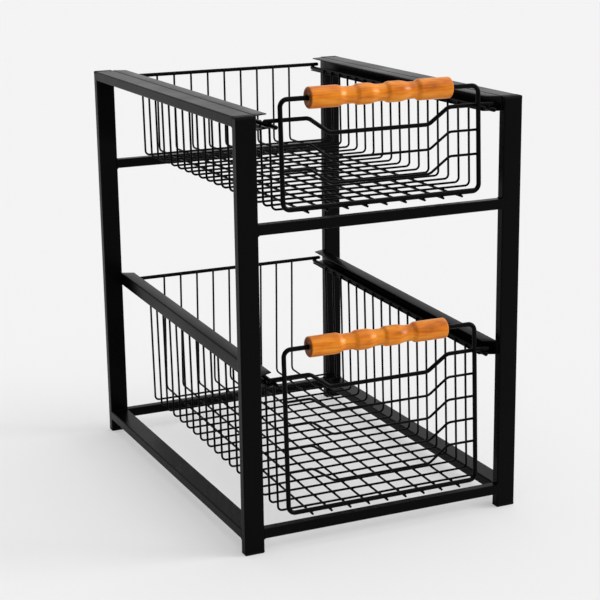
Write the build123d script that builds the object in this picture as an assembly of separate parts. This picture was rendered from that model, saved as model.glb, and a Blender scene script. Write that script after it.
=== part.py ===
from build123d import *
import math
import os
from dataclasses import dataclass

# Two-tier pull out basket unit for a cabinet: a frame of welded steel tube carries two wire baskets,
# which slide out to the front on folded sheet channels. Each basket is pulled by a turned wooden
# grip on a wire loop.
#
# Millimetres, +X to the right, +Y to the back, +Z up. The model is drawn with y = 0 at the front
# faces of the frame, and is moved at export so that its origin is the bottom centre of the unit.

# ---- Frame ------------------------------------------------------------------------------------
FRAME_WIDTH = 295.0
FRAME_DEPTH = 408.0
FRAME_HEIGHT = 415.0
TUBE_WIDTH = 20.0  # posts and side rails: flat tube, its wide side across the unit
TUBE_THICKNESS = 10.0
TUBE_WALL = 1.2
TUBE_CORNER = 1.5
CROSSBAR_SIZE = 10.0  # crossbars: square tube
BOTTOM_BAR_HEIGHT = 14.0  # floor to the underside of the bottom rails and bars
BASKET_CLEARANCE = {"upper": 6.75, "lower": 8.25}  # lowest wires to the crossbars' top, at the front
PLUG_HEAD = 2.5  # plastic plugs in the posts' tube ends
PLUG_STEM = 12.0
PLUG_FIT = 0.2
PLUG_EDGE = 0.8

# ---- Runner channels: folded sheet, open to the inside ------------------------------------------
CHANNEL_HEIGHT = 14.0
CHANNEL_SHEET = 1.0
CHANNEL_TOP_FLANGE = 14.0
CHANNEL_LOWER_FLANGE = 17.2
CHANNEL_SETBACK = 4.0  # from the frame's front and rear faces to the channel's ends at the web
CHANNEL_END_CUT = 6.0  # how far the top flange's edge is cut back from the web's end
CHANNEL_END_SLANT = CHANNEL_END_CUT / CHANNEL_TOP_FLANGE

# ---- Basket wires -------------------------------------------------------------------------------
ROD_DIAMETER = 4.0  # side rods and rims
FRONT_WIRE_DIAMETER = 2.5
MESH_WIRE_DIAMETER = 2.2  # cross wires and long wires
LOOP_DIAMETER = 4.5
WELD_GAP = 0.05  # left between two wires that are welded at their crossing
RUNNING_GAP = 0.3  # between a basket and the channel that carries it

ROD_REAR_END = 10.0  # side rods' rear ends to the frame's rear face
RIM_OVERHANG = 6.4  # rim ends beyond the side rods' centres, under the top flanges
REAR_RIM_INSET = 14.0  # rear rim's centre to the frame's rear face
LOOP_SETBACK = 1.95  # loop's centre behind the frame's front face, at the rim's height
LOOP_HALF_WIDTH = 101.7
LOOP_CORNER_RADIUS = 7.0
LOOP_OFFSET = -2.0  # the loops and the front wires' dips sit a little left of the middle
RIM_BEND_RADIUS = 10.0
FRONT_WIRE_PITCH = 23.0

CROSS_WIRE_COUNT = 18
CROSS_WIRE_PITCH = 20.2
FIRST_CROSS_WIRE = 15.0  # behind the frame's front face
WALL_WIRE_TOP = 1.4  # cross wires' ends above the rods' centres
MESH_BEND_RADIUS = 4.5
LONG_WIRE_COUNT = 9
LONG_WIRE_PITCH = 20.0
LONG_WIRE_NOSE = 1.0  # long wires' ends in front of the loop's bottom bar
LONG_WIRE_TOP = 1.0  # rear wires' ends above the rear rim's centre

# Bent wires are drawn with a few flat sides, and their bends with a few straight facets.
ROD_SIDES = 12
FRONT_WIRE_SIDES = 8
MESH_WIRE_SIDES = 6
THICK_BEND_FACET = 30.0  # degrees of bend for one facet
THIN_BEND_FACET = 45.0

# ---- Wooden grips -------------------------------------------------------------------------------
GRIP_OFFSET = -3.0  # the grips' middles, left of the unit's middle
GRIP_DIAMETER = 20.0
GRIP_WAIST_DIAMETER = 16.0
GRIP_BEAD_DIAMETER = 19.5
GRIP_WAIST_PITCH = 32.5
GRIP_SHOULDER = 14.0  # from an outer waist to the plain end
GRIP_EDGE = 1.0
GRIP_BORE_GAP = 0.25
GRIP_SIDES = 32  # the turned form is drawn with flat sides
GRIP_FACETS = 3  # straight facets from a waist to the next bead or plain end

# ---- Upper tier: its channels lie at the frame's top --------------------------------------------
UPPER_LEAN = 2.3  # degrees, how much the loop's and the cross wires' bottoms stand forward
UPPER_FLOOR_DEPTH = 88.4  # channels' top down to the centres of the cross wires
UPPER_ROD_STUB = 8.0  # side rods in front of the frame's front face
UPPER_LOOP_RISE = 12.2  # channels' top up to the centre of the loop's top bar
UPPER_DIP_DEPTH = 14.9  # dip of the rim and the front wires, below the grip
UPPER_DIP_FLOOR = 51.0  # half width of the dip at its bottom
UPPER_DIP_MOUTH = 72.2  # half width of the dip at its top
UPPER_GRIP_LENGTH = 147.0

# ---- Lower tier: deeper, and it rises a little to the back --------------------------------------
LOWER_SLOPE = 1.65  # degrees
LOWER_LEAN = 4.0
LOWER_FLOOR_DEPTH = 138.4
LOWER_ROD_STUB = 1.0
LOWER_LOOP_RISE = 21.4
LOWER_DIP_DEPTH = 15.3
LOWER_DIP_FLOOR = 51.8
LOWER_DIP_MOUTH = 73.5
LOWER_GRIP_LENGTH = 151.5


@dataclass
class Tier:
    """One basket with its pair of channels. Heights are measured from the channels' top face."""
    name: str
    channel_top: float  # height above the floor at the frame's front face
    slope: float
    lean: float
    floor_depth: float
    rod_stub: float
    loop_rise: float
    dip_depth: float
    dip_floor: float
    dip_mouth: float
    grip_length: float
    front_wires: int


def basket_height(floor_depth):
    """From the channels' top down to the underside of the long wires."""
    return floor_depth + 1.5 * MESH_WIRE_DIAMETER + WELD_GAP


BOTTOM_BAR_TOP = BOTTOM_BAR_HEIGHT + CROSSBAR_SIZE
LOWER_CHANNEL_TOP = BOTTOM_BAR_TOP + BASKET_CLEARANCE["lower"] + basket_height(LOWER_FLOOR_DEPTH)
MIDDLE_BAR_TOP = FRAME_HEIGHT - basket_height(UPPER_FLOOR_DEPTH) - BASKET_CLEARANCE["upper"]
MIDDLE_BAR_HEIGHT = MIDDLE_BAR_TOP - CROSSBAR_SIZE

UPPER = Tier(
    "upper", FRAME_HEIGHT, 0.0, UPPER_LEAN, UPPER_FLOOR_DEPTH, UPPER_ROD_STUB, UPPER_LOOP_RISE,
    UPPER_DIP_DEPTH, UPPER_DIP_FLOOR, UPPER_DIP_MOUTH, UPPER_GRIP_LENGTH, front_wires=2,
)
LOWER = Tier(
    "lower", LOWER_CHANNEL_TOP, LOWER_SLOPE, LOWER_LEAN, LOWER_FLOOR_DEPTH, LOWER_ROD_STUB, LOWER_LOOP_RISE,
    LOWER_DIP_DEPTH, LOWER_DIP_FLOOR, LOWER_DIP_MOUTH, LOWER_GRIP_LENGTH, front_wires=4,
)

# ---- Places that follow from the sizes above ----------------------------------------------------
SIDES = {"left": -1, "right": 1}
POST_X = (FRAME_WIDTH - TUBE_WIDTH) / 2
INNER_HALF_WIDTH = FRAME_WIDTH / 2 - TUBE_WIDTH
BAR_Y = {"front": CROSSBAR_SIZE / 2, "rear": FRAME_DEPTH - CROSSBAR_SIZE / 2}
POST_Y = {"front": TUBE_THICKNESS / 2, "rear": FRAME_DEPTH - TUBE_THICKNESS / 2}
ROD_X = INNER_HALF_WIDTH - CHANNEL_LOWER_FLANGE - RUNNING_GAP + ROD_DIAMETER / 2
ROD_Z = -CHANNEL_HEIGHT + CHANNEL_SHEET + RUNNING_GAP + ROD_DIAMETER / 2
RIM_Z = ROD_Z + ROD_DIAMETER + WELD_GAP
FRONT_RIM_Y = LOOP_SETBACK + (LOOP_DIAMETER + ROD_DIAMETER) / 2 + WELD_GAP
REAR_RIM_Y = FRAME_DEPTH - REAR_RIM_INSET
REAR_LEG_Y = REAR_RIM_Y - (ROD_DIAMETER + MESH_WIRE_DIAMETER) / 2 - WELD_GAP
WALL_X = ROD_X - (ROD_DIAMETER + MESH_WIRE_DIAMETER) / 2 - WELD_GAP


# ---- Frame pieces -------------------------------------------------------------------------------
def tube(width, thickness, start, direction, across, length):
    """Rounded rectangular tube from the centre of its start face, its width along `across`."""
    outside = RectangleRounded(width, thickness, TUBE_CORNER)
    inside = Rectangle(width - 2 * TUBE_WALL, thickness - 2 * TUBE_WALL)
    return extrude(Plane(origin=start, x_dir=across, z_dir=direction) * (outside - inside), length)


def post(side, end):
    start = (SIDES[side] * POST_X, POST_Y[end], PLUG_HEAD)
    return tube(TUBE_WIDTH, TUBE_THICKNESS, start, (0, 0, 1), (1, 0, 0), FRAME_HEIGHT - 2 * PLUG_HEAD)


def side_rail(side, underside):
    start = (SIDES[side] * POST_X, TUBE_THICKNESS, underside + TUBE_THICKNESS / 2)
    return tube(TUBE_WIDTH, TUBE_THICKNESS, start, (0, 1, 0), (1, 0, 0), FRAME_DEPTH - 2 * TUBE_THICKNESS)


def crossbar(end, underside):
    start = (-INNER_HALF_WIDTH, BAR_Y[end], underside + CROSSBAR_SIZE / 2)
    return tube(CROSSBAR_SIZE, CROSSBAR_SIZE, start, (1, 0, 0), (0, 1, 0), 2 * INNER_HALF_WIDTH)


def plug(side, end, at_floor):
    """Plastic plug: a head as wide as the tube, with broken edges, and a stem inside the tube."""
    outline = Rectangle(TUBE_WIDTH, TUBE_THICKNESS)
    head = extrude(chamfer(outline.vertices(), PLUG_EDGE), PLUG_HEAD)
    head = chamfer(head.faces().sort_by(Axis.Z)[0].edges(), PLUG_EDGE)
    inset = 2 * (TUBE_WALL + PLUG_FIT)
    stem = Pos(0, 0, PLUG_HEAD) * extrude(Rectangle(TUBE_WIDTH - inset, TUBE_THICKNESS - inset), PLUG_STEM)
    body = head + stem
    if not at_floor:
        body = Pos(0, 0, FRAME_HEIGHT) * Rot(180, 0, 0) * body
    return Pos(SIDES[side] * POST_X, POST_Y[end], 0) * body


# ---- Tiers --------------------------------------------------------------------------------------
def place(tier, shape):
    """Move a shape from the tier's own frame (z = 0 at the channels' top) into the unit."""
    return Pos(0, 0, tier.channel_top) * Rot(tier.slope, 0, 0) * shape


def channel(tier, side):
    """Folded C-section; the flanges' ends are cut off at a slant, so that nothing snags there."""
    web_x = INNER_HALF_WIDTH
    section = Polyline(
        (web_x - CHANNEL_TOP_FLANGE, 0),
        (web_x, 0),
        (web_x, -CHANNEL_HEIGHT),
        (web_x - CHANNEL_LOWER_FLANGE, -CHANNEL_HEIGHT),
        (web_x - CHANNEL_LOWER_FLANGE, -CHANNEL_HEIGHT + CHANNEL_SHEET),
        (web_x - CHANNEL_SHEET, -CHANNEL_HEIGHT + CHANNEL_SHEET),
        (web_x - CHANNEL_SHEET, -CHANNEL_SHEET),
        (web_x - CHANNEL_TOP_FLANGE, -CHANNEL_SHEET),
        close=True,
    )
    fold = extrude(Plane.XZ * make_face(section), -FRAME_DEPTH)
    front = CHANNEL_SETBACK
    rear = FRAME_DEPTH - CHANNEL_SETBACK
    reach = CHANNEL_LOWER_FLANGE
    cut = reach * CHANNEL_END_SLANT
    plan = Polyline(
        (web_x, front),
        (web_x, rear),
        (web_x - reach, rear - cut),
        (web_x - reach, front + cut),
        close=True,
    )
    fold = fold & Pos(0, 0, -CHANNEL_HEIGHT) * extrude(make_face(plan), CHANNEL_HEIGHT)
    if SIDES[side] < 0:
        fold = mirror(fold, Plane.YZ)
    return place(tier, fold)


def bent_points(corners, radius, facet):
    """Points of a bent wire: each corner becomes an arc of straight facets."""
    points = [Vector(corners[0])]
    for before, corner, after in zip(corners, corners[1:], corners[2:]):
        corner = Vector(corner)
        back = (Vector(before) - corner).normalized()
        ahead = (Vector(after) - corner).normalized()
        half_angle = math.radians(back.get_angle(ahead)) / 2
        inward = (back + ahead).normalized()
        along = (ahead - back).normalized()
        centre = corner + inward * (radius / math.sin(half_angle))
        turn = math.pi - 2 * half_angle
        facets = max(1, round(turn / math.radians(facet)))
        for step in range(facets + 1):
            angle = turn * (step / facets - 0.5)
            points.append(centre + (along * math.sin(angle) - inward * math.cos(angle)) * radius)
    points.append(Vector(corners[-1]))
    return points


def wire(corners, across, diameter, sides, bend_radius, facet):
    """Wire bent in one plane; `across` is square to that plane, and a flat side faces each way."""
    points = bent_points(corners, bend_radius, facet)
    start = Plane(origin=points[0], x_dir=across, z_dir=points[1] - points[0])
    turned = 180 / sides if sides % 4 == 0 else 0
    profile = start * RegularPolygon(diameter / 2, sides, major_radius=False, rotation=turned)
    return sweep(profile, path=Polyline(*points), transition=Transition.RIGHT)


def thick_wire(corners, across, diameter=ROD_DIAMETER, bend_radius=RIM_BEND_RADIUS):
    return wire(corners, across, diameter, ROD_SIDES, bend_radius, THICK_BEND_FACET)


def mesh_wire(corners, across):
    return wire(corners, across, MESH_WIRE_DIAMETER, MESH_WIRE_SIDES, MESH_BEND_RADIUS, THIN_BEND_FACET)


def side_rods(tier):
    rods = []
    for side in SIDES.values():
        ends = [(side * ROD_X, y, ROD_Z) for y in (-tier.rod_stub, FRAME_DEPTH - ROD_REAR_END)]
        rods.append(thick_wire(ends, (1, 0, 0)))
    return rods


def dipped_line(tier, left_end, right_end):
    """Corners (across, up) of a front wire that dips below the grip."""
    dip = [(-tier.dip_mouth, 0), (-tier.dip_floor, -tier.dip_depth)]
    dip += [(-across, up) for across, up in reversed(dip)]
    return [(left_end, 0)] + [(LOOP_OFFSET + across, up) for across, up in dip] + [(right_end, 0)]


def front_rim(tier):
    reach = ROD_X + RIM_OVERHANG
    corners = [(x, FRONT_RIM_Y, RIM_Z + up) for x, up in dipped_line(tier, -reach, reach)]
    return [thick_wire(corners, (0, 1, 0))]


def rear_rim(tier):
    ends = [(x, REAR_RIM_Y, RIM_Z) for x in (-ROD_X - RIM_OVERHANG, ROD_X + RIM_OVERHANG)]
    return [thick_wire(ends, (0, 1, 0))]


def long_wire_z(tier):
    return -tier.floor_depth - MESH_WIRE_DIAMETER - WELD_GAP


def loop_bottom_z(tier):
    return long_wire_z(tier) + (MESH_WIRE_DIAMETER + LOOP_DIAMETER) / 2 + WELD_GAP


def loop_plane(tier):
    """Plane of the handle loop, facing the front; its origin is at the rim's height."""
    lean = math.radians(tier.lean)
    normal = (0, -math.cos(lean), math.sin(lean))
    return Plane(origin=(LOOP_OFFSET, LOOP_SETBACK, RIM_Z), x_dir=(1, 0, 0), z_dir=normal)


def up_the_loop(tier, z):
    """Distance along the leaning loop from the rim's height to the height z."""
    return (z - RIM_Z) / math.cos(math.radians(tier.lean))


def loop_point(tier, z):
    return loop_plane(tier).from_local_coords((0, up_the_loop(tier, z), 0))


def front_wires(tier):
    """Thin wires behind the loop, from upright to upright, with the same dip as the rim."""
    step_back = (LOOP_DIAMETER + FRONT_WIRE_DIAMETER) / 2 + WELD_GAP
    plane = loop_plane(tier).offset(-step_back)
    line = dipped_line(tier, LOOP_OFFSET - LOOP_HALF_WIDTH, LOOP_OFFSET + LOOP_HALF_WIDTH)
    wires = []
    for number in range(1, tier.front_wires + 1):
        height = -number * FRONT_WIRE_PITCH
        corners = [plane.from_local_coords((x - LOOP_OFFSET, height + up, 0)) for x, up in line]
        wires.append(
            wire(corners, plane.z_dir, FRONT_WIRE_DIAMETER, FRONT_WIRE_SIDES, RIM_BEND_RADIUS, THIN_BEND_FACET)
        )
    return wires


def cross_wires(tier):
    """U-shaped wires, two side walls and the floor of the basket, that lean as the loop does."""
    lean = math.radians(tier.lean)
    across = (0, math.cos(lean), -math.sin(lean))
    corners = [(-WALL_X, ROD_Z + WALL_WIRE_TOP), (-WALL_X, -tier.floor_depth)]
    corners = corners + [(-x, z) for x, z in reversed(corners)]
    wires = []
    for number in range(CROSS_WIRE_COUNT):
        y = FIRST_CROSS_WIRE + number * CROSS_WIRE_PITCH
        run = [(x, y + (z - ROD_Z) * math.tan(lean), z) for x, z in corners]
        wires.append(mesh_wire(run, across))
    return wires


def long_wires(tier):
    """L-shaped wires: under the floor from the loop's bottom bar to the back, then up the rear wall."""
    z = long_wire_z(tier)
    nose = loop_point(tier, loop_bottom_z(tier)).Y - LOOP_DIAMETER / 2 - LONG_WIRE_NOSE
    wires = []
    for number in range(LONG_WIRE_COUNT):
        x = (number - (LONG_WIRE_COUNT - 1) / 2) * LONG_WIRE_PITCH
        run = [(x, nose, z), (x, REAR_LEG_Y, z), (x, REAR_LEG_Y, RIM_Z + LONG_WIRE_TOP)]
        wires.append(mesh_wire(run, (1, 0, 0)))
    return wires


def handle_loop(tier):
    """Closed loop of thick wire: bottom bar on the long wires, uprights, and top bar for the grip."""
    bottom = up_the_loop(tier, loop_bottom_z(tier))
    top = up_the_loop(tier, tier.loop_rise)
    plane = loop_plane(tier)
    outline = [
        (0, bottom),
        (LOOP_HALF_WIDTH, bottom),
        (LOOP_HALF_WIDTH, top),
        (-LOOP_HALF_WIDTH, top),
        (-LOOP_HALF_WIDTH, bottom),
        (0, bottom),
    ]
    corners = [plane.from_local_coords((x, up, 0)) for x, up in outline]
    return [thick_wire(corners, plane.z_dir, LOOP_DIAMETER, LOOP_CORNER_RADIUS)]


def grip(tier):
    """Turned grip: plain ends, three waists and two beads between them, bored for the wire."""
    half = tier.grip_length / 2
    plain = GRIP_DIAMETER / 2
    waist = GRIP_WAIST_DIAMETER / 2
    bead = GRIP_BEAD_DIAMETER / 2
    waves = [(0, waist), (GRIP_WAIST_PITCH / 2, bead), (GRIP_WAIST_PITCH, waist)]
    waves.append((GRIP_WAIST_PITCH + GRIP_SHOULDER, plain))
    right = [waves[0]]
    for (x0, r0), (x1, r1) in zip(waves, waves[1:]):
        for step in range(1, GRIP_FACETS + 1):
            share = step / GRIP_FACETS
            wave = (1 - math.cos(math.pi * share)) / 2
            right.append((x0 + (x1 - x0) * share, r0 + (r1 - r0) * wave))
    right += [(half - GRIP_EDGE, plain), (half, plain - GRIP_EDGE)]
    left = [(-x, radius) for x, radius in reversed(right[1:])]
    rings = [Plane.YZ.offset(x) * RegularPolygon(radius, GRIP_SIDES) for x, radius in left + right]
    turned = loft(rings, ruled=True)
    bore = Plane.YZ.offset(-half) * Circle(LOOP_DIAMETER / 2 + GRIP_BORE_GAP)
    bar = loop_point(tier, tier.loop_rise)
    return [Pos(GRIP_OFFSET, bar.Y, bar.Z) * (turned - extrude(bore, tier.grip_length))]


# ---- Assembly -----------------------------------------------------------------------------------
def frame_nodes():
    nodes = {}
    for side in SIDES:
        for end in POST_Y:
            nodes[f"post_{end}_{side}"] = [post(side, end)]
            nodes[f"foot_plug_{end}_{side}"] = [plug(side, end, at_floor=True)]
            nodes[f"top_plug_{end}_{side}"] = [plug(side, end, at_floor=False)]
        nodes[f"top_rail_{side}"] = [side_rail(side, FRAME_HEIGHT - TUBE_THICKNESS)]
        nodes[f"bottom_rail_{side}"] = [side_rail(side, BOTTOM_BAR_HEIGHT)]
        for tier in (UPPER, LOWER):
            nodes[f"{tier.name}_channel_{side}"] = [channel(tier, side)]
    for end in BAR_Y:
        nodes[f"bottom_bar_{end}"] = [crossbar(end, BOTTOM_BAR_HEIGHT)]
        nodes[f"middle_bar_{end}"] = [crossbar(end, MIDDLE_BAR_HEIGHT)]
    return nodes


def basket_nodes(tier):
    pieces = (side_rods, front_rim, rear_rim, front_wires, cross_wires, long_wires, handle_loop, grip)
    nodes = {}
    for piece in pieces:
        nodes[f"{tier.name}_{piece.__name__}"] = [place(tier, solid) for solid in piece(tier)]
    return nodes


FRONT_REACH = max(UPPER_ROD_STUB, GRIP_DIAMETER / 2 - loop_point(UPPER, UPPER_LOOP_RISE).Y)
ORIGIN_Y = (FRAME_DEPTH - FRONT_REACH) / 2

os.makedirs("parts", exist_ok=True)
all_nodes = frame_nodes() | basket_nodes(UPPER) | basket_nodes(LOWER)
for name, solids in all_nodes.items():
    moved = [Pos(0, -ORIGIN_Y, 0) * solid for solid in solids]
    shape = moved[0] if len(moved) == 1 else Compound(children=moved)
    export_step(shape, f"parts/{name}.step")
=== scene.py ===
import math

import bpy
import numpy as np
from mathutils import Matrix


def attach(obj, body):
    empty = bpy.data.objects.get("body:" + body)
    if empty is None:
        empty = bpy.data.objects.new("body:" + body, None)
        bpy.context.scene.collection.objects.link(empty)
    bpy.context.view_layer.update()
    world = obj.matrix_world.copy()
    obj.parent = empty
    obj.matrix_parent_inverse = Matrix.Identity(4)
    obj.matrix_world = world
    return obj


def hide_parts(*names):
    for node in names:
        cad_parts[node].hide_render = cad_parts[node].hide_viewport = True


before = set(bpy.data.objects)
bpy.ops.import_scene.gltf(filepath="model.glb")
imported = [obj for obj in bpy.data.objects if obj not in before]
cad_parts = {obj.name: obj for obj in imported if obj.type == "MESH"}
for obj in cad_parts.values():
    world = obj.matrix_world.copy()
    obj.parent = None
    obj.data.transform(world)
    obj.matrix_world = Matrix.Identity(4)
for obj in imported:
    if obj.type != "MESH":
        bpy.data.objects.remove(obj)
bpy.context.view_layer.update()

# Sizes are in millimetres unless a name says otherwise, with +X to the right, +Y to the back and +Z up.
# Points are worked out in the whole unit's place and turned to metres where a mesh is made.

# ==== Posts, rails and crossbars ===================================================================
# The frame is flat and square steel tube, cut square, welded at the corners and sprayed with black
# powder that is baked on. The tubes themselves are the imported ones; the welds are added here.

MM = 0.001
FRAME_WIDTH = 295.0
FRAME_DEPTH = 408.0
FRAME_HEIGHT = 415.0
TUBE_WIDTH = 20.0
TUBE_THICKNESS = 10.0
TUBE_CORNER = 1.5
CROSSBAR_SIZE = 10.0
BOTTOM_BAR_HEIGHT = 14.0
MIDDLE_BAR_HEIGHT = 306.5
ORIGIN_Y = 200.0  # from the frame's front face back to the middle of the whole unit
INNER_HALF_WIDTH = FRAME_WIDTH / 2 - TUBE_WIDTH
SIDES = {"left": -1, "right": 1}
ENDS = ("front", "rear")

COAT_IOR = 1.13
COAT_PATCH = 70.0  # patches of more and less gloss
COAT_GRAIN = 0.9  # drawn coarser than the real powder's, so that it shows
COAT_GLOSS_DRIFT = 0.05

WELD_BEAD_RADIUS = 0.85
WELD_RIPPLE_PITCH = 1.6
WELD_RIPPLE = 0.16
WELD_SWELL_LENGTH = 6.1
WELD_SWELL = 0.2
WELD_STEP = 0.4
WELD_FLUSH_GAP = 0.05
PHASES = (0, 6.28)  # radians, the range that seeded phases are drawn from


def linear(hex_colour):
    """sRGB hex to the linear red, green, blue and alpha that Blender's sockets take."""
    channels = [int(hex_colour[i:i + 2], 16) / 255 for i in (1, 3, 5)]
    return [c / 12.92 if c <= 0.04045 else ((c + 0.055) / 1.055) ** 2.4 for c in channels] + [1.0]


def add_node(material, kind, settings=None, **inputs):
    """Adds one node. Each other argument is an input: Base_Color is the socket "Base Color" and _6 is
    socket 6. A value given for an input is set on it, and an output given for it is linked."""
    node = material.node_tree.nodes.new(kind)
    for name, value in (settings or {}).items():
        setattr(node, name, value)
    for name, value in inputs.items():
        socket = node.inputs[int(name[1:])] if name[0] == "_" else node.inputs[name.replace("_", " ")]
        if isinstance(value, bpy.types.NodeSocket):
            material.node_tree.links.new(value, socket)
        else:
            socket.default_value = value
    return node


def new_material(name):
    material = bpy.data.materials.new(name)
    material.use_nodes = True
    material.node_tree.nodes.clear()
    return material


def powder_coat(name, dark, light, gloss, peel, peel_depth):
    """Baked powder coat: nearly black, with the fine orange peel that the powder leaves as it flows,
    and a gloss that wanders a little over each hand's width. The IOR is low, so that faces seen
    squarely stay black and only those seen at a low angle turn grey."""
    material = new_material(name)
    where = add_node(material, "ShaderNodeTexCoord").outputs["Object"]
    flow = add_node(material, "ShaderNodeTexNoise", Vector=where, Scale=1000 / peel, Detail=2.0, Roughness=0.55)
    patches = add_node(material, "ShaderNodeTexNoise", Vector=where, Scale=1000 / COAT_PATCH, Detail=3.0,
                       Roughness=0.6)
    grains = add_node(material, "ShaderNodeTexNoise", Vector=where, Scale=1000 / COAT_GRAIN, Detail=1.0)
    tint = add_node(material, "ShaderNodeMix", {"data_type": "RGBA"}, _0=grains.outputs["Fac"], _6=linear(dark),
                    _7=linear(light))
    rough = add_node(material, "ShaderNodeMapRange", Value=patches.outputs["Fac"], From_Min=0.3, From_Max=0.7,
                     To_Min=gloss - COAT_GLOSS_DRIFT, To_Max=gloss + COAT_GLOSS_DRIFT)
    bump = add_node(material, "ShaderNodeBump", Height=flow.outputs["Fac"], Strength=0.6,
                    Distance=peel_depth * MM)
    shader = add_node(material, "ShaderNodeBsdfPrincipled", Base_Color=tint.outputs[2],
                      Roughness=rough.outputs[0], Normal=bump.outputs[0], IOR=COAT_IOR)
    add_node(material, "ShaderNodeOutputMaterial", Surface=shader.outputs[0])
    return material


def new_piece(name, points, faces, material, body, slot, replaced=()):
    """One smooth mesh piece from an array of points in millimetres and its faces, riding on a body."""
    mesh = bpy.data.meshes.new(name)
    mesh.from_pydata((np.asarray(points) * MM).tolist(), [], faces)
    mesh.polygons.foreach_set("use_smooth", np.ones(len(mesh.polygons), bool))
    mesh.materials.append(material)
    mesh.update()
    piece = bpy.data.objects.new(name, mesh)
    bpy.context.scene.collection.objects.link(piece)
    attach(piece, body)
    if replaced:
        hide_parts(*replaced)
    return piece


def grid_faces(rings, sides, closed):
    """Quads of a tube of `rings` rings with `sides` points each. A closed tube joins its last ring to
    its first."""
    ring = np.arange(rings if closed else rings - 1)[:, None]
    side = np.arange(sides)[None, :]
    ahead, beside = (ring + 1) % rings, (side + 1) % sides
    quads = [ring * sides + side, ring * sides + beside, ahead * sides + beside, ahead * sides + side]
    return np.stack(np.broadcast_arrays(*quads), -1).reshape(-1, 4)


def swept_round(path, across, radii, sides, closed=False):
    """Round bar along a path in one plane: centre + radius * (cos a * across + sin a * inward), where
    inward is square to the path and to `across`. Open ends are closed with one flat face each."""
    path = np.asarray(path, float)
    along = np.roll(path, -1, 0) - np.roll(path, 1, 0) if closed else np.gradient(path, axis=0)
    along /= np.linalg.norm(along, axis=1)[:, None]
    across = np.asarray(across, float)
    inward = np.cross(along, across)
    angle = np.arange(sides) * 2 * math.pi / sides
    reach = np.cos(angle)[None, :, None] * across + np.sin(angle)[None, :, None] * inward[:, None, :]
    points = path[:, None, :] + np.broadcast_to(radii, len(path))[:, None, None] * reach
    faces = grid_faces(len(path), sides, closed).tolist()
    if not closed:
        last = (len(path) - 1) * sides
        faces += [list(range(sides))[::-1], list(range(last, last + sides))]
    return points.reshape(-1, 3), faces


def joined(parts):
    """Several (points, faces) as one, each part's faces counted on from the parts before it."""
    points, faces, start = [], [], 0
    for part_points, part_faces in parts:
        points.append(part_points)
        faces += [[corner + start for corner in face] for face in part_faces]
        start += len(part_points)
    return np.concatenate(points), faces


def weld_round(centre, half_u, half_v, u, v, normal, seed):
    """Weld bead round a tube's end: a thin bar along the tube's rounded outline, whose radius swells and
    shrinks with each drop of the weld: r * (1 + ripple sin(2 pi s / pitch) + swell sin(s / length))."""
    quarter = np.linspace(0, math.pi / 2, 5)
    turns = np.concatenate([quarter + k * math.pi / 2 for k in range(4)])
    sign_u, sign_v = (np.repeat(signs, len(quarter)) for signs in ([1, -1, -1, 1], [1, 1, -1, -1]))
    corners = np.stack([sign_u * (half_u - TUBE_CORNER) + TUBE_CORNER * np.cos(turns),
                        sign_v * (half_v - TUBE_CORNER) + TUBE_CORNER * np.sin(turns)], 1)
    loop = np.vstack([corners, corners[:1]])
    lengths = np.concatenate([[0], np.cumsum(np.linalg.norm(np.diff(loop, axis=0), axis=1))])
    s = np.arange(0, lengths[-1] - WELD_STEP / 2, WELD_STEP)
    flat = np.stack([np.interp(s, lengths, loop[:, k]) for k in (0, 1)], 1)
    phase = np.random.default_rng(seed).uniform(*PHASES, 2)
    swell = (1 + WELD_RIPPLE * np.sin(2 * math.pi * s / WELD_RIPPLE_PITCH + phase[0])
             + WELD_SWELL * np.sin(s / WELD_SWELL_LENGTH + phase[1]))
    path = np.asarray(centre) + flat[:, :1] * np.asarray(u) + flat[:, 1:] * np.asarray(v)
    return swept_round(path, normal, WELD_BEAD_RADIUS * swell, 8, closed=True)


tube_coat = powder_coat("black_satin_powder_coat_on_tube", "#040404", "#070708", gloss=0.27, peel=1.3,
                        peel_depth=0.012)
tube_nodes = [f"post_{end}_{side}" for end in ENDS for side in SIDES]
tube_nodes += [f"{level}_bar_{end}" for level in ("bottom", "middle") for end in ENDS]
tube_nodes += [f"{level}_rail_{side}" for level in ("bottom", "top") for side in SIDES]
for node in tube_nodes:
    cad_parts[node].material_slots[0].material = tube_coat

RIGHT, BACK, UP = (1, 0, 0), (0, 1, 0), (0, 0, 1)
welds = []
for sign in SIDES.values():
    for end_y in (TUBE_THICKNESS, FRAME_DEPTH - TUBE_THICKNESS):
        for underside in (BOTTOM_BAR_HEIGHT, FRAME_HEIGHT - TUBE_THICKNESS):
            centre = (sign * (FRAME_WIDTH - TUBE_WIDTH) / 2, end_y - ORIGIN_Y, underside + TUBE_THICKNESS / 2)
            welds.append(weld_round(centre, TUBE_WIDTH / 2, TUBE_THICKNESS / 2, RIGHT, UP, BACK, len(welds)))
    for bar_y in (CROSSBAR_SIZE / 2, FRAME_DEPTH - CROSSBAR_SIZE / 2):
        for underside in (BOTTOM_BAR_HEIGHT, MIDDLE_BAR_HEIGHT):
            centre = (sign * INNER_HALF_WIDTH, bar_y - ORIGIN_Y, underside + CROSSBAR_SIZE / 2)
            welds.append(weld_round(centre, CROSSBAR_SIZE / 2, CROSSBAR_SIZE / 2, BACK, UP, RIGHT, len(welds)))
bead_points, bead_faces = joined(welds)
# the beads are ground flush with the frame's outer faces and its top
flush = np.array([FRAME_WIDTH / 2, FRAME_DEPTH - ORIGIN_Y, FRAME_HEIGHT]) - WELD_FLUSH_GAP
bead_points = np.clip(bead_points, [-flush[0], WELD_FLUSH_GAP - ORIGIN_Y, 0], flush)
new_piece("tube_weld_beads", bead_points, bead_faces, tube_coat, "frame", "frame_tube")

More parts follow.
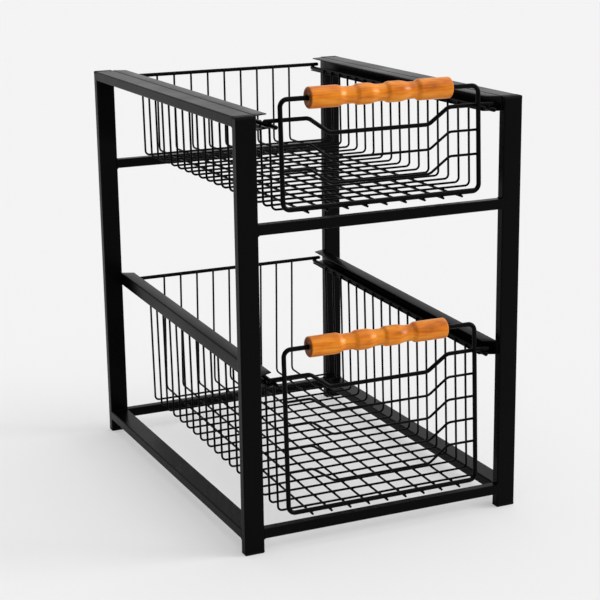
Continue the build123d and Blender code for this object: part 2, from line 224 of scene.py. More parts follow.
# ==== Foot and top plugs ============================================================================
# Black polyethylene plugs, moulded, pushed into the open ends of the posts. Their fine spark-eroded
# grain scatters light, so they look greyer and flatter than the coated steel round them.

SPARK_GRAIN = 0.35  # drawn coarser than the real grain, so that it shows
SPARK_GRAIN_DEPTH = 0.03

plug_plastic = new_material("matt_black_moulded_polyethylene")
where = add_node(plug_plastic, "ShaderNodeTexCoord").outputs["Object"]
spark_grain = add_node(plug_plastic, "ShaderNodeTexNoise", Vector=where, Scale=1000 / SPARK_GRAIN, Detail=2.0)
plug_tint = add_node(plug_plastic, "ShaderNodeMix", {"data_type": "RGBA"}, _0=spark_grain.outputs["Fac"],
                     _6=linear("#070707"), _7=linear("#0D0D0E"))
plug_bump = add_node(plug_plastic, "ShaderNodeBump", Height=spark_grain.outputs["Fac"], Strength=0.5,
                     Distance=SPARK_GRAIN_DEPTH * MM)
plug_shader = add_node(plug_plastic, "ShaderNodeBsdfPrincipled", Base_Color=plug_tint.outputs[2],
                       Roughness=0.55, Normal=plug_bump.outputs[0], IOR=1.16)
add_node(plug_plastic, "ShaderNodeOutputMaterial", Surface=plug_shader.outputs[0])
for end in ENDS:
    for side in SIDES:
        for level in ("foot", "top"):
            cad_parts[f"{level}_plug_{end}_{side}"].material_slots[0].material = plug_plastic

# ==== Runner channels ===============================================================================
# Folded from one millimetre steel sheet, ends cut at a slant, welded to the posts' inner sides and
# powder coated with the frame. The baskets' side rods slide on their lower flanges.

TIERS = ("upper", "lower")
CHANNEL_HEIGHT = 14.0
CHANNEL_SHEET = 1.0
CHANNEL_TOP_FLANGE = 14.0
CHANNEL_LOWER_FLANGE = 17.2
CHANNEL_SETBACK = 4.0
CHANNEL_END_CUT = 6.0
CHANNEL_END_SLANT = CHANNEL_END_CUT / CHANNEL_TOP_FLANGE
CHANNEL_STATIONS = 40
FOLD_RADIUS = 1.6  # outside of each fold
SHEARED_EDGE = 0.18
CHANNEL_TOP = {"upper": FRAME_HEIGHT, "lower": 174.0}
SLOPE = {"upper": 0.0, "lower": 1.65}  # degrees, down towards the front


def in_unit(points, tier):
    """From a tier's own place, with z = 0 on its channels' top and y = 0 at the frame's front, into the
    unit: turned about X by the tier's slope, lifted to the channels' top and set back to the origin."""
    x, y, z = np.moveaxis(np.asarray(points, float), -1, 0)
    slope = math.radians(SLOPE[tier])
    turned_y = y * math.cos(slope) - z * math.sin(slope)
    turned_z = y * math.sin(slope) + z * math.cos(slope)
    return np.stack([x, turned_y - ORIGIN_Y, turned_z + CHANNEL_TOP[tier]], -1)


def folded_line(reach_top, reach_bottom, web, top, bottom, radius):
    """One face of the folded sheet as a line of points: along the top flange, round a quarter circle
    into the web, down, and round another quarter circle into the lower flange."""
    turn = np.linspace(0, math.pi / 2, 7)
    bend_x, bend_z = web - radius + radius * np.sin(turn), radius * (np.cos(turn) - 1)
    upper = np.stack([bend_x, top + bend_z], 1)
    lower = np.stack([bend_x, bottom - bend_z], 1)[::-1]
    return np.vstack([[[reach_top, top]], upper, lower, [[reach_bottom, bottom]]])


def channel_surface(tier, sign):
    """Folded section carried from a slanted front end to a slanted rear end: each point of the section
    runs from y = setback + slant * (its distance from the web) to the mirrored place at the back."""
    web = INNER_HALF_WIDTH
    ends_x = web - CHANNEL_TOP_FLANGE, web - CHANNEL_LOWER_FLANGE
    outer = folded_line(*ends_x, web, 0.0, -CHANNEL_HEIGHT, FOLD_RADIUS)
    inner = folded_line(*ends_x, web - CHANNEL_SHEET, -CHANNEL_SHEET, CHANNEL_SHEET - CHANNEL_HEIGHT,
                        FOLD_RADIUS - CHANNEL_SHEET)
    section = np.vstack([outer, inner[::-1]])
    front = CHANNEL_SETBACK + CHANNEL_END_SLANT * (web - section[:, 0])
    share = np.linspace(0, 1, CHANNEL_STATIONS)[:, None]
    y = front + share * (FRAME_DEPTH - 2 * front)
    points = np.stack([np.broadcast_to(sign * section[:, 0], y.shape), y,
                       np.broadcast_to(section[:, 1], y.shape)], -1)
    count = len(section)
    k = np.arange(len(outer) - 1)
    near = np.stack([k, count - 1 - k, count - 2 - k, k + 1], 1)
    far = near[:, ::-1] + (CHANNEL_STATIONS - 1) * count
    faces = np.vstack([grid_faces(CHANNEL_STATIONS, count, closed=False), near, far])
    if sign > 0:
        faces = faces[:, ::-1]
    return in_unit(points, tier).reshape(-1, 3), faces.tolist()


sheet_coat = powder_coat("black_powder_coat_on_folded_sheet", "#040404", "#080809", gloss=0.27, peel=1.1,
                         peel_depth=0.01)
for tier in TIERS:
    for side, sign in SIDES.items():
        runner = new_piece(f"{tier}_runner_{side}", *channel_surface(tier, sign), sheet_coat, "frame",
                           "runner_sheet", [f"{tier}_channel_{side}"])
        edges = runner.modifiers.new("sheared_edges", "BEVEL")
        edges.width = SHEARED_EDGE * MM
        edges.segments = 2
        edges.limit_method = "ANGLE"
        edges.angle_limit = math.radians(50)

# ==== Side rods and rims ============================================================================
# Each basket's rails: drawn steel rod of 4 mm. The side rods lie in the channels with a rounded stub in
# front, the front rim is bent down in its middle to clear the hand, and the rear rim is straight.

ROD_RADIUS = 2.0
ROD_SIDES = 20
ROD_EDGE = 1.3
ROD_X = 112.0
ROD_Z = -10.7
RIM_Z = -6.65
ROD_FRONT = {"upper": -8.0, "lower": -1.0}
ROD_REAR = 398.0
RIM_HALF_LENGTH = 118.4
FRONT_RIM_Y = 6.25
REAR_RIM_Y = 394.0
RIM_BEND_RADIUS = 10.0
LOOP_OFFSET = -2.0  # the loops and the front wires' dips sit a little left of the middle
DIP = {"upper": (14.9, 51.0, 72.2), "lower": (15.3, 51.8, 73.5)}  # depth, half width below and above
WIRE_STEP = 9.0  # longest step between two points of a wire's centre line
BEND_STEP = 7.0  # degrees


def bent_path(corners, radius=0.0, closed=False):
    """Centre line of a bent wire: straight runs with a point at each step or closer, and at each corner
    an arc of the bend's radius: centre - inward cos(a) + along sin(a)."""
    corners = [np.asarray(corner, float) for corner in corners]
    count = len(corners)
    pieces = [] if closed else [corners[:1]]
    for k in range(count if closed else count - 2):
        before, corner, after = (corners[(k + step) % count] for step in range(3))
        back = (before - corner) / np.linalg.norm(before - corner)
        ahead = (after - corner) / np.linalg.norm(after - corner)
        half = math.acos(float(np.clip(back @ ahead, -1, 1))) / 2
        inward = (back + ahead) / np.linalg.norm(back + ahead)
        along = (ahead - back) / np.linalg.norm(ahead - back)
        turn = math.pi - 2 * half
        steps = max(3, int(turn / math.radians(BEND_STEP)) + 2)
        angle = np.linspace(-turn / 2, turn / 2, steps)[:, None]
        centre = corner + inward * radius / math.sin(half)
        pieces.append(centre - inward * radius * np.cos(angle) + along * radius * np.sin(angle))
    if not closed:
        pieces.append(corners[-1:])
    rough = np.vstack(pieces)
    if closed:
        rough = np.vstack([rough, rough[:1]])
    lengths = np.linalg.norm(np.diff(rough, axis=0), axis=1)
    splits = np.maximum(1, np.ceil(lengths / WIRE_STEP).astype(int))
    start = np.repeat(np.arange(len(lengths)), splits)
    share = np.concatenate([np.arange(n) / n for n in splits])[:, None]
    path = rough[start] + share * (rough[start + 1] - rough[start])
    return path if closed else np.vstack([path, rough[-1:]])


def hand_bent(path, across, seed, amount):
    """A wire as it comes off the bender, not quite true: two slow waves along its length, sin(s / a) +
    sin(s / b) / 2, push the centre line sideways and in its own plane by up to `amount`, and leave its
    two ends where they are."""
    s = np.concatenate([[0], np.cumsum(np.linalg.norm(np.diff(path, axis=0), axis=1))])
    phase = np.random.default_rng(seed).uniform(*PHASES, 4)
    hold = np.sin(math.pi * s / s[-1])[:, None]
    along = np.gradient(path, axis=0)
    inward = np.cross(along / np.linalg.norm(along, axis=1)[:, None], across)
    sideways = (np.sin(s / 41 + phase[0]) + 0.5 * np.sin(s / 17 + phase[1]))[:, None]
    in_plane = (np.sin(s / 53 + phase[2]) + 0.5 * np.sin(s / 19 + phase[3]))[:, None]
    return path + amount * hold * (sideways * np.asarray(across, float) + in_plane * inward) / 1.5


def cut_wire(path, across, radius, sides, edge):
    """Round wire with its cut ends rounded over: within `edge` of an end, the radius is
    r - edge * (1 - cos t) at the distance edge * (1 - sin t) from the end, t from a quarter turn to 0."""
    t = np.linspace(math.pi / 2, 0, 5)[:, None]
    first = (path[1] - path[0]) / np.linalg.norm(path[1] - path[0])
    last = (path[-2] - path[-1]) / np.linalg.norm(path[-2] - path[-1])
    start = path[0] + first * edge * (1 - np.sin(t))
    finish = path[-1] + last * edge * (1 - np.sin(t[::-1]))
    round_off = radius - edge * (1 - np.cos(t[:, 0]))
    radii = np.concatenate([round_off, np.full(len(path) - 2, radius), round_off[::-1]])
    return swept_round(np.vstack([start, path[1:-1], finish]), across, radii, sides)


def dipped_line(tier, left_end, right_end):
    """Corners (x, height) of a wire that is straight at its ends and dips behind the grip."""
    depth, below, above = DIP[tier]
    dip = [(-above, 0.0), (-below, -depth), (below, -depth), (above, 0.0)]
    return [(left_end, 0.0)] + [(LOOP_OFFSET + x, z) for x, z in dip] + [(right_end, 0.0)]


def square_to(tier, lean=0.0):
    """Direction to the back, square to a tier's upright wires that lean forward by `lean` degrees."""
    turned = math.radians(SLOPE[tier]) - math.radians(lean)
    return 0.0, math.cos(turned), math.sin(turned)


def basket_piece(tier, name, wires, node=None):
    """Wires or welds of one basket as one piece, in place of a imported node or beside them."""
    new_piece(f"{tier}_{name}", *joined(wires), wire_coat, f"{tier}_basket", "basket_wire",
              [f"{tier}_{node}"] if node else ())


wire_coat = powder_coat("black_semi_gloss_powder_coat_on_wire", "#040404", "#070708", gloss=0.3, peel=0.9,
                        peel_depth=0.008)
for tier in TIERS:
    level = square_to(tier)
    rods = []
    for sign in SIDES.values():
        ends = [(sign * ROD_X, ROD_FRONT[tier], ROD_Z), (sign * ROD_X, ROD_REAR, ROD_Z)]
        rods.append(cut_wire(in_unit(bent_path(ends), tier), RIGHT, ROD_RADIUS, ROD_SIDES, ROD_EDGE))
    basket_piece(tier, "basket_rails", rods, "side_rods")
    dipped = [(x, FRONT_RIM_Y, RIM_Z + z) for x, z in dipped_line(tier, -RIM_HALF_LENGTH, RIM_HALF_LENGTH)]
    path = in_unit(bent_path(dipped, RIM_BEND_RADIUS), tier)
    basket_piece(tier, "dipped_rim", [cut_wire(path, level, ROD_RADIUS, ROD_SIDES, ROD_EDGE)], "front_rim")
    straight = [(x, REAR_RIM_Y, RIM_Z) for x in (-RIM_HALF_LENGTH, RIM_HALF_LENGTH)]
    path = in_unit(bent_path(straight), tier)
    basket_piece(tier, "back_rim", [cut_wire(path, level, ROD_RADIUS, ROD_SIDES, ROD_EDGE)], "rear_rim")

# ==== Wall and floor wires ==========================================================================
# The baskets' grid: drawn wire of 2.2 mm. Eighteen U-shaped wires make the side walls and the floor,
# and nine L-shaped wires run under them and up the back. They are welded to each other and the rods.

MESH_RADIUS = 1.1
MESH_SIDES = 12
MESH_BEND_RADIUS = 4.5
MESH_WANDER = 0.22
FLOOR_DEPTH = {"upper": 88.4, "lower": 138.4}
LEAN = {"upper": 2.3, "lower": 4.0}  # degrees, how far the U-shaped wires and the loops lean forward below
WALL_X = 108.85
WALL_TOP_Z = -9.3
CROSS_WIRE_COUNT = 18
CROSS_WIRE_PITCH = 20.2
CROSS_WIRE_Y = 15.0 + CROSS_WIRE_PITCH * np.arange(CROSS_WIRE_COUNT)
CROSS_WIRE_EDGE = 0.5
CROSS_WIRE_SEED = 100
LONG_WIRE_COUNT = 9
LONG_WIRE_PITCH = 20.0
LONG_WIRE_X = LONG_WIRE_PITCH * (np.arange(LONG_WIRE_COUNT) - LONG_WIRE_COUNT // 2)
LONG_WIRE_DROP = 2.25  # long wires' centres under the cross wires' centres
LONG_WIRE_NOSE = {"upper": -4.54, "lower": -10.43}
LONG_WIRE_EDGE = 0.4
LONG_WIRE_SEED = 200
REAR_LEG_Y = 390.85
REAR_LEG_TOP = -5.65

for tier in TIERS:
    floor = -FLOOR_DEPTH[tier]
    lean = math.radians(LEAN[tier])
    square = square_to(tier, LEAN[tier])
    hoops = []
    for k, y in enumerate(CROSS_WIRE_Y):
        half = [(-WALL_X, y + (z - ROD_Z) * math.tan(lean), z) for z in (WALL_TOP_Z, floor)]
        corners = half + [(-x, y, z) for x, y, z in reversed(half)]
        path = in_unit(bent_path(corners, MESH_BEND_RADIUS), tier)
        path = hand_bent(path, square, CROSS_WIRE_SEED + k, MESH_WANDER)
        hoops.append(cut_wire(path, square, MESH_RADIUS, MESH_SIDES, CROSS_WIRE_EDGE))
    basket_piece(tier, "wall_hoops", hoops, "cross_wires")
    runs = []
    for k, x in enumerate(LONG_WIRE_X):
        z = floor - LONG_WIRE_DROP
        corners = [(x, LONG_WIRE_NOSE[tier], z), (x, REAR_LEG_Y, z), (x, REAR_LEG_Y, REAR_LEG_TOP)]
        path = in_unit(bent_path(corners, MESH_BEND_RADIUS), tier)
        path = hand_bent(path, RIGHT, LONG_WIRE_SEED + k, MESH_WANDER)
        runs.append(cut_wire(path, RIGHT, MESH_RADIUS, MESH_SIDES, LONG_WIRE_EDGE))
    basket_piece(tier, "floor_runs", runs, "long_wires")

# ==== Handle loops and front wires ==================================================================
# A closed loop of 4.5 mm wire stands at the front of each basket: its bottom bar is welded on the long
# wires and its top bar carries the grip. Thinner wires behind it, bent like the rim, guard the front.

LOOP_RADIUS = 2.25
LOOP_SIDES = 20
LOOP_SETBACK = 1.95
LOOP_HALF_WIDTH = 101.7
LOOP_LEFT, LOOP_RIGHT = LOOP_OFFSET - LOOP_HALF_WIDTH, LOOP_OFFSET + LOOP_HALF_WIDTH
LOOP_CORNER_RADIUS = 7.0
LOOP_BOTTOM = {"upper": -87.25, "lower": -137.25}
LOOP_RISE = {"upper": 12.2, "lower": 21.4}
FRONT_WIRE_RADIUS = 1.25
FRONT_WIRE_SIDES = 14
FRONT_WIRE_EDGE = 0.6
FRONT_WIRE_BEHIND = 3.55
FRONT_WIRE_PITCH = 23.0
FRONT_WIRE_COUNT = {"upper": 2, "lower": 4}
FRONT_WIRE_WANDER = 0.12
FRONT_WIRE_SEED = 300


def up_the_loop(tier, height):
    """Distance along the leaning loop from the rim's height to a height of the tier."""
    return (height - RIM_Z) / math.cos(math.radians(LEAN[tier]))


def on_loop(tier, points, behind=0.0):
    """Points (x, distance up the leaning loop from the rim's height) into the unit: the loop's plane
    leans forward at the bottom by the loop's angle, and `behind` is square to it, towards the back."""
    lean = math.radians(LEAN[tier])
    x, up = np.asarray(points, float).T
    y = LOOP_SETBACK + up * math.sin(lean) + behind * math.cos(lean)
    z = RIM_Z + up * math.cos(lean) - behind * math.sin(lean)
    return in_unit(np.stack([x, y, z], 1), tier)


for tier in TIERS:
    square = square_to(tier, LEAN[tier])
    low, high = (up_the_loop(tier, height) for height in (LOOP_BOTTOM[tier], LOOP_RISE[tier]))
    corners = [(LOOP_LEFT, low), (LOOP_RIGHT, low), (LOOP_RIGHT, high), (LOOP_LEFT, high)]
    path = bent_path(on_loop(tier, corners), LOOP_CORNER_RADIUS, closed=True)
    loop = swept_round(path, square, LOOP_RADIUS, LOOP_SIDES, closed=True)
    basket_piece(tier, "pull_loop", [loop], "handle_loop")
    guards = []
    for number in range(1, FRONT_WIRE_COUNT[tier] + 1):
        corners = [(x, z - number * FRONT_WIRE_PITCH) for x, z in dipped_line(tier, LOOP_LEFT, LOOP_RIGHT)]
        path = bent_path(on_loop(tier, corners, FRONT_WIRE_BEHIND), RIM_BEND_RADIUS)
        path = hand_bent(path, square, FRONT_WIRE_SEED + number, FRONT_WIRE_WANDER)
        guards.append(cut_wire(path, square, FRONT_WIRE_RADIUS, FRONT_WIRE_SIDES, FRONT_WIRE_EDGE))
    basket_piece(tier, "front_guards", guards, "front_wires")

# ==== Welds at the wires' crossings =================================================================
# Resistance welds: where two wires are pressed together the steel flows a little to both sides, and the
# coat rounds it over, which leaves a small flat lump in the corner between the wires.

# half sizes of the lumps along X, Y and Z
FLOOR_WELD = (1.25, 1.25, 0.75)
WALL_WELD = (0.8, 1.4, 1.5)
RIM_WELD = (2.1, 2.1, 1.1)
LOOP_WELD = (2.2, 1.1, 2.1)
GUARD_WELD = (1.6, 0.9, 1.4)
BACK_WELD = (1.4, 0.8, 1.5)
NOSE_WELD = (1.4, 1.6, 0.8)
WELD_SHIFT = 0.45  # from halfway between two wires' centres towards the thinner wire
BEHIND_LOOP = 2.2
BELOW_LOOP = 2.3


def lumps(centres, size):
    """Small ellipsoids: centre + (a cos t sin p, b sin t sin p, c cos p), with rings of p between the
    poles, each pole one flat face. All lumps are worked out as one array."""
    centres = np.asarray(centres, float).reshape(-1, 3)
    sides = 8
    around = np.arange(sides) * 2 * math.pi / sides
    down = np.radians([14, 45, 90, 135, 166])
    rings = len(down)
    ball = np.stack([np.cos(around) * np.sin(down)[:, None], np.sin(around) * np.sin(down)[:, None],
                     np.broadcast_to(np.cos(down)[:, None], (rings, sides))], -1).reshape(-1, 3)
    points = (centres[:, None, :] + (ball * np.asarray(size))[None]).reshape(-1, 3)
    starts = np.arange(len(centres))[:, None] * len(ball)
    walls = (grid_faces(rings, sides, closed=False)[None] + starts[:, :, None]).reshape(-1, 4)[:, ::-1]
    top = np.arange(sides) + starts
    bottom = np.arange(len(ball) - 1, len(ball) - 1 - sides, -1) + starts
    return points, walls.tolist() + top.tolist() + bottom.tolist()


for tier in TIERS:
    floor = -FLOOR_DEPTH[tier]
    x, y = np.meshgrid(LONG_WIRE_X, CROSS_WIRE_Y)
    y = y + (floor - ROD_Z) * math.tan(math.radians(LEAN[tier]))
    crossings = np.stack([x, y, np.full_like(x, floor - LONG_WIRE_DROP / 2)], -1)
    spots = [lumps(in_unit(crossings.reshape(-1, 3), tier), FLOOR_WELD)]
    for sign in SIDES.values():
        wall_x = sign * (ROD_X + WALL_X) / 2 - sign * WELD_SHIFT
        wall = [(wall_x, y, ROD_Z) for y in CROSS_WIRE_Y]
        rims = [(sign * ROD_X, y, (ROD_Z + RIM_Z) / 2) for y in (FRONT_RIM_Y, REAR_RIM_Y)]
        upright = LOOP_OFFSET + sign * LOOP_HALF_WIDTH
        guards = [(upright, -number * FRONT_WIRE_PITCH) for number in range(1, FRONT_WIRE_COUNT[tier] + 1)]
        spots += [lumps(in_unit(wall, tier), WALL_WELD), lumps(in_unit(rims, tier), RIM_WELD),
                  lumps(on_loop(tier, [(upright, 0.0)], BEHIND_LOOP), LOOP_WELD),
                  lumps(on_loop(tier, guards, BEHIND_LOOP), GUARD_WELD)]
    back = [(x, (REAR_LEG_Y + REAR_RIM_Y) / 2 - WELD_SHIFT, RIM_Z) for x in LONG_WIRE_X]
    noses = on_loop(tier, [(x, up_the_loop(tier, LOOP_BOTTOM[tier])) for x in LONG_WIRE_X])
    spots += [lumps(in_unit(back, tier), BACK_WELD), lumps(noses - (0, 0, BELOW_LOOP), NOSE_WELD)]
    basket_piece(tier, "spot_welds", spots)

# ==== Turned wooden grips ===========================================================================
# Turned from a square of pale hardwood, bored through for the loop's wire, stained honey orange and
# varnished. The ends are darker, partly for the stain that the end grain takes up and partly from painted
# shade, and painted shade round the bore turns nearly black.

GRIP_LENGTH = 145.0
GRIP_LEFT_END = {"upper": -76.5, "lower": -78.75}
PLAIN_RADIUS = 10.0
WAIST_RADIUS = 8.0
BEAD_RADIUS = 9.75
# The profile from the left end: level stretches, and between them slopes that are short on the left
# side of each bead and long on its right side, as the gouge was swung.
STRETCH_ENDS = (28.0, 36.5, 44.6, 50.3, 59.5, 70.0, 76.0, 81.0, 91.5, 103.0, 107.5, 112.8)
STRETCH_RADII = (PLAIN_RADIUS, WAIST_RADIUS, WAIST_RADIUS, BEAD_RADIUS, BEAD_RADIUS, WAIST_RADIUS,
                 WAIST_RADIUS, BEAD_RADIUS, BEAD_RADIUS, WAIST_RADIUS, WAIST_RADIUS, PLAIN_RADIUS)
PROFILE_POINTS = 281
TURNED_SIDES = 96
GRIP_EDGE = 1.4
BORE_RADIUS = 2.5
BORE_EDGE = 0.35
BORE_DEPTH = 6.0  # how far in the bore is drawn; the wire fills what is seen of it

VARNISH_IOR = 1.33
VARNISH_ROUGHNESS = 0.3
GRAIN_RELIEF = 0.06
RING_SPACING = 2.6
RING_SHARE = 0.12
FIBRES_PER_METRE = (40.0, 2900.0, 2900.0)  # 25 mm long and 0.35 mm wide
FIBRE_SHARE = 0.1
PORES_PER_METRE = (250.0, 4000.0, 4000.0)  # 4 mm long and 0.25 mm wide
PORE_SHARE = 0.12
MOTTLES_PER_METRE = (30.0, 110.0, 110.0)  # 33 mm long and 9 mm wide
MOTTLE_SHARE = 1.1
MOTTLE_SHIFT = -0.2
STAIN = ((0.2, "#F09A24"), (0.5, "#D8760E"), (0.85, "#7C3603"))
# how far the painted shade round the bore reaches from its edge
BORE_SHADE_REACH = 2.2


def turned_grip(tier, bar):
    """Surface of a turned grip about the loop's top bar. Radius against the distance x from the left end:
    level stretches joined by half cosine waves, r0 + (r1 - r0) (1 - cos(pi t)) / 2 with t from 0 to 1
    along a slope; a rounded edge at each end, the end face and the bore."""
    x = np.linspace(GRIP_EDGE, GRIP_LENGTH - GRIP_EDGE, PROFILE_POINTS)
    stops, heights = np.array(STRETCH_ENDS), np.array(STRETCH_RADII)
    part = np.clip(np.searchsorted(stops, x, side="right") - 1, 0, len(stops) - 2)
    share = np.clip((x - stops[part]) / (stops[part + 1] - stops[part]), 0, 1)
    radius = heights[part] + (heights[part + 1] - heights[part]) * (1 - np.cos(math.pi * share)) / 2
    turn = np.linspace(0, math.pi / 2, 7)[1:]
    edge_x = GRIP_LENGTH - GRIP_EDGE + GRIP_EDGE * np.sin(turn)
    edge_r = PLAIN_RADIUS - GRIP_EDGE * (1 - np.cos(turn))
    bore_x = GRIP_LENGTH - np.array([0.0, BORE_EDGE, BORE_DEPTH])
    bore_r = BORE_RADIUS + np.array([BORE_EDGE, 0.0, 0.0])
    end_x, end_r = np.concatenate([edge_x, bore_x]), np.concatenate([edge_r, bore_r])
    line_x = np.concatenate([x, end_x, GRIP_LENGTH - end_x[::-1]]) + GRIP_LEFT_END[tier]
    line_r = np.concatenate([radius, end_r, end_r[::-1]])
    angle = np.arange(TURNED_SIDES) * 2 * math.pi / TURNED_SIDES
    points = np.stack([np.broadcast_to(line_x[:, None], (len(line_x), TURNED_SIDES)),
                       -line_r[:, None] * np.cos(angle), line_r[:, None] * np.sin(angle)], -1)
    faces = grid_faces(len(line_x), TURNED_SIDES, closed=True)[:, ::-1]
    return points.reshape(-1, 3) + bar, faces.tolist()


def varnished_wood(name, bar, pith, tilt):
    """Stained and varnished hardwood: warm orange under a thin varnish that gives soft, broad highlights.
    Year rings stand round a pith beside the grip, slightly askew, so that the turning cuts them to long
    flames; fibres and pores run along X; the ends are end grain."""
    material = new_material(name)
    texture_place = add_node(material, "ShaderNodeTexCoord")
    on_axis = add_node(material, "ShaderNodeMapping", Vector=texture_place.outputs["Object"],
                       Location=tuple(-bar * MM)).outputs[0]
    from_pith = add_node(material, "ShaderNodeMapping", Vector=on_axis, Rotation=(0.0, tilt, tilt * 0.6),
                         Location=tuple(c * MM for c in pith)).outputs[0]
    mottle_run, fibre_run, pore_run = (
        add_node(material, "ShaderNodeMapping", Vector=source, Scale=per_metre).outputs[0]
        for source, per_metre in ((on_axis, MOTTLES_PER_METRE), (from_pith, FIBRES_PER_METRE),
                                  (from_pith, PORES_PER_METRE)))
    mottles = add_node(material, "ShaderNodeTexNoise", Vector=mottle_run, Scale=1.0, Detail=3.0)
    fibres = add_node(material, "ShaderNodeTexNoise", Vector=fibre_run, Scale=1.0, Detail=3.0, Roughness=0.65)
    pores = add_node(material, "ShaderNodeTexVoronoi", {"feature": "F1"}, Vector=pore_run, Scale=1.0)
    # the wave's own period is pi / 10 of its unit
    rings = add_node(material, "ShaderNodeTexWave",
                     {"wave_type": "RINGS", "rings_direction": "X", "wave_profile": "SAW"},
                     Vector=from_pith, Scale=math.pi / 10 * 1000 / RING_SPACING, Distortion=1.4, Detail=2.0,
                     Detail_Scale=0.5, Detail_Roughness=0.5)
    ring_share = add_node(material, "ShaderNodeMath", {"operation": "MULTIPLY"}, _0=rings.outputs["Fac"],
                          _1=RING_SHARE)
    fibre_share = add_node(material, "ShaderNodeMath", {"operation": "MULTIPLY"}, _0=fibres.outputs["Fac"],
                           _1=FIBRE_SHARE)
    mottle_share = add_node(material, "ShaderNodeMath", {"operation": "MULTIPLY_ADD"},
                            _0=mottles.outputs["Fac"], _1=MOTTLE_SHARE, _2=MOTTLE_SHIFT)
    figure = add_node(material, "ShaderNodeMath", {"operation": "ADD"}, _0=ring_share.outputs[0],
                      _1=fibre_share.outputs[0])
    tone = add_node(material, "ShaderNodeMath", {"operation": "ADD"}, _0=figure.outputs[0],
                    _1=mottle_share.outputs[0]).outputs[0]
    stain = add_node(material, "ShaderNodeValToRGB", Fac=tone)
    ramp = stain.color_ramp
    for spot, colour in STAIN:
        ramp.elements.new(spot).color = linear(colour)
    ramp.elements.remove(ramp.elements[0])
    ramp.elements.remove(ramp.elements[-1])
    pore_mask = add_node(material, "ShaderNodeMapRange", Value=pores.outputs["Distance"], From_Min=0.12,
                         From_Max=0.3, To_Min=1.0, To_Max=0.0)
    pore_depth = add_node(material, "ShaderNodeMath", {"operation": "MULTIPLY"}, _0=pore_mask.outputs[0],
                          _1=PORE_SHARE)
    with_pores = add_node(material, "ShaderNodeMix", {"data_type": "RGBA"}, _0=pore_depth.outputs[0],
                          _6=stain.outputs[0], _7=linear("#7A3A14"))
    # end grain takes up more stain, and painted shade is laid on the ends as well: the colour darkens where the
    # surface faces along X
    facing = add_node(material, "ShaderNodeSeparateXYZ", Vector=texture_place.outputs["Normal"])
    along_x = add_node(material, "ShaderNodeMath", {"operation": "ABSOLUTE"}, _0=facing.outputs["X"])
    end_grain_and_shade = add_node(material, "ShaderNodeMapRange", Value=along_x.outputs[0], From_Min=0.55, From_Max=0.95,
                         To_Min=0.0, To_Max=0.8)
    stained_and_shaded_end = add_node(material, "ShaderNodeMix", {"data_type": "RGBA"}, _0=end_grain_and_shade.outputs[0],
                           _6=with_pores.outputs[2], _7=linear("#6B3513"))
    # painted shade round the bore, where the wire sits in it: nearly black at the bore's edge, fading with the
    # distance from the grip's axis
    off_axis = add_node(material, "ShaderNodeVectorMath", {"operation": "MULTIPLY"}, _0=on_axis,
                        _1=(0.0, 1.0, 1.0))
    from_axis = add_node(material, "ShaderNodeVectorMath", {"operation": "LENGTH"}, _0=off_axis.outputs[0])
    painted_bore_shade = add_node(material, "ShaderNodeMapRange", Value=from_axis.outputs["Value"],
                         From_Min=BORE_RADIUS * MM, From_Max=(BORE_RADIUS + BORE_SHADE_REACH) * MM,
                         To_Min=0.95, To_Max=0.0)
    bore_shaded = add_node(material, "ShaderNodeMix", {"data_type": "RGBA"}, _0=painted_bore_shade.outputs[0],
                        _6=stained_and_shaded_end.outputs[2], _7=linear("#160A05"))
    bump = add_node(material, "ShaderNodeBump", Height=tone, Strength=0.25, Distance=GRAIN_RELIEF * MM)
    shader = add_node(material, "ShaderNodeBsdfPrincipled", Base_Color=bore_shaded.outputs[2],
                      Roughness=VARNISH_ROUGHNESS, IOR=VARNISH_IOR, Normal=bump.outputs[0])
    add_node(material, "ShaderNodeOutputMaterial", Surface=shader.outputs[0])
    return material


for tier, pith, tilt in (("upper", (0.0, 21.0, 15.0), 0.035), ("lower", (0.0, -17.0, 24.0), -0.03)):
    bar = on_loop(tier, [(0.0, up_the_loop(tier, LOOP_RISE[tier]))])[0]
    wood = varnished_wood(f"honey_varnished_hardwood_{tier}", bar, pith, tilt)
    new_piece(f"{tier}_turned_handle", *turned_grip(tier, bar), wood, f"{tier}_grip", "grip_wood",
              [f"{tier}_grip"])

# ==== Floor, lamps and camera =======================================================================
# A seamless pale floor that runs out past the view, a wide softbox overhead, a window low on the right,
# a surround that is brighter at the back right, and the camera, a little above and left of the unit.

FLOOR_HALF_SIZE = 20.0  # metres
PAPER_GLOW = 0.42
SURROUND_DARK_SIDE, SURROUND_BRIGHT_SIDE = 0.18, 0.98  # strengths
TOWARDS_WINDOW = (0.78, 0.62, 0.0)
CAMERA_PLACE = (-0.6807, -1.5034, 0.6178)  # metres
CAMERA_YAW = 24.463  # degrees, as the two below
CAMERA_PITCH = -14.684
CAMERA_ROLL = -0.775
CAMERA_LENS = 96.80
SENSOR_WIDTH = 36.0

floor_mesh = bpy.data.meshes.new("studio_floor")
floor_corners = [(x * FLOOR_HALF_SIZE, y * FLOOR_HALF_SIZE, 0) for x, y in ((-1, -1), (1, -1), (1, 1), (-1, 1))]
floor_mesh.from_pydata(floor_corners, [], [(0, 1, 2, 3)])
studio_floor = bpy.data.objects.new("studio_floor", floor_mesh)
bpy.context.scene.collection.objects.link(studio_floor)
# matt paper has no gloss at all, so that only soft shadows show on it
paper = new_material("matt_white_background_paper")
paper_lit = add_node(paper, "ShaderNodeBsdfDiffuse", Color=linear("#E9E9E9"), Roughness=0.0)
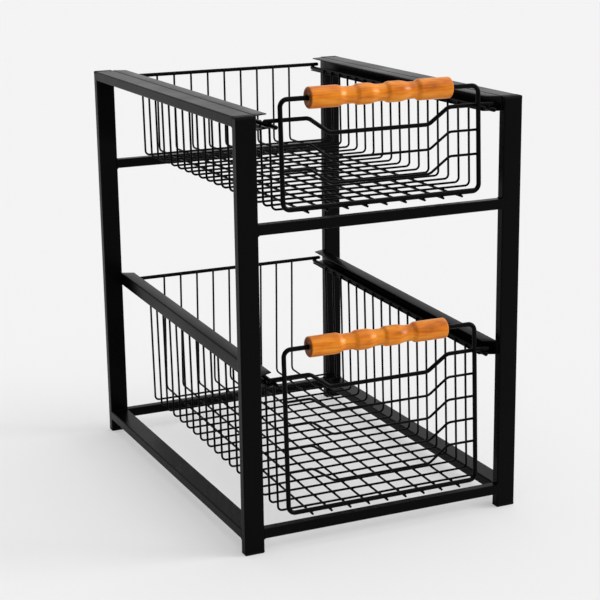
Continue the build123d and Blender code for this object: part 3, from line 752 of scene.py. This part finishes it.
# the paper is lit through from below for the camera alone, which softens the shadows on it
paper_glow = add_node(paper, "ShaderNodeEmission", Color=linear("#F3F3F3"), Strength=1.0)
camera_ray = add_node(paper, "ShaderNodeLightPath").outputs["Is Camera Ray"]
seen = add_node(paper, "ShaderNodeMath", {"operation": "MULTIPLY"}, _0=camera_ray, _1=PAPER_GLOW)
paper_shader = add_node(paper, "ShaderNodeMixShader", _0=seen.outputs[0], _1=paper_lit.outputs[0],
                        _2=paper_glow.outputs[0])
add_node(paper, "ShaderNodeOutputMaterial", Surface=paper_shader.outputs[0])
floor_mesh.materials.append(paper)

world = bpy.data.worlds.new("pale_studio")
world.use_nodes = True
surround = world.node_tree.nodes["Background"]
surround.inputs["Color"].default_value = linear("#F3F3F3")
looking = add_node(world, "ShaderNodeTexCoord").outputs["Generated"]
towards_window = add_node(world, "ShaderNodeVectorMath", {"operation": "DOT_PRODUCT"}, _0=looking,
                          _1=TOWARDS_WINDOW)
brightness = add_node(world, "ShaderNodeMapRange", Value=towards_window.outputs["Value"], From_Min=-1.0,
                      From_Max=1.0, To_Min=SURROUND_DARK_SIDE, To_Max=SURROUND_BRIGHT_SIDE)
world.node_tree.links.new(brightness.outputs[0], surround.inputs["Strength"])
bpy.context.scene.world = world


def soft_sun(name, energy, spread, toward):
    """Distant lamp that shines from the direction `toward`, `spread` degrees wide."""
    lamp = bpy.data.lights.new(name, "SUN")
    lamp.energy = energy
    lamp.angle = math.radians(spread)
    toward = np.array(toward) / np.linalg.norm(toward)
    beside = np.cross(UP, toward)
    beside /= np.linalg.norm(beside)
    axes = np.stack([beside, np.cross(toward, beside), toward], 1)
    holder = bpy.data.objects.new(name, lamp)
    holder.matrix_world = Matrix(axes.tolist()).to_4x4()
    bpy.context.scene.collection.objects.link(holder)


soft_sun("overhead_softbox", 1.25, 80, (0.25, -0.12, 1.0))
soft_sun("window_light", 2.0, 26, (1.0, -0.42, 0.38))

yaw, pitch, roll = (math.radians(angle) for angle in (CAMERA_YAW, CAMERA_PITCH, CAMERA_ROLL))
view_line = np.array([math.sin(yaw) * math.cos(pitch), math.cos(yaw) * math.cos(pitch), math.sin(pitch)])
view_right = np.array([math.cos(yaw), -math.sin(yaw), 0.0])
view_up = np.cross(view_right, view_line)
image_right = math.cos(roll) * view_right + math.sin(roll) * view_up
image_up = -math.sin(roll) * view_right + math.cos(roll) * view_up
camera_data = bpy.data.cameras.new("photo_camera")
camera_data.lens = CAMERA_LENS
camera_data.sensor_width = SENSOR_WIDTH
camera = bpy.data.objects.new("photo_camera", camera_data)
camera.matrix_world = Matrix.Translation(CAMERA_PLACE) @ Matrix(
    np.stack([image_right, image_up, -view_line], 1).tolist()).to_4x4()
bpy.context.scene.collection.objects.link(camera)
bpy.context.scene.camera = camera
bpy.context.scene.view_settings.view_transform = "Standard"
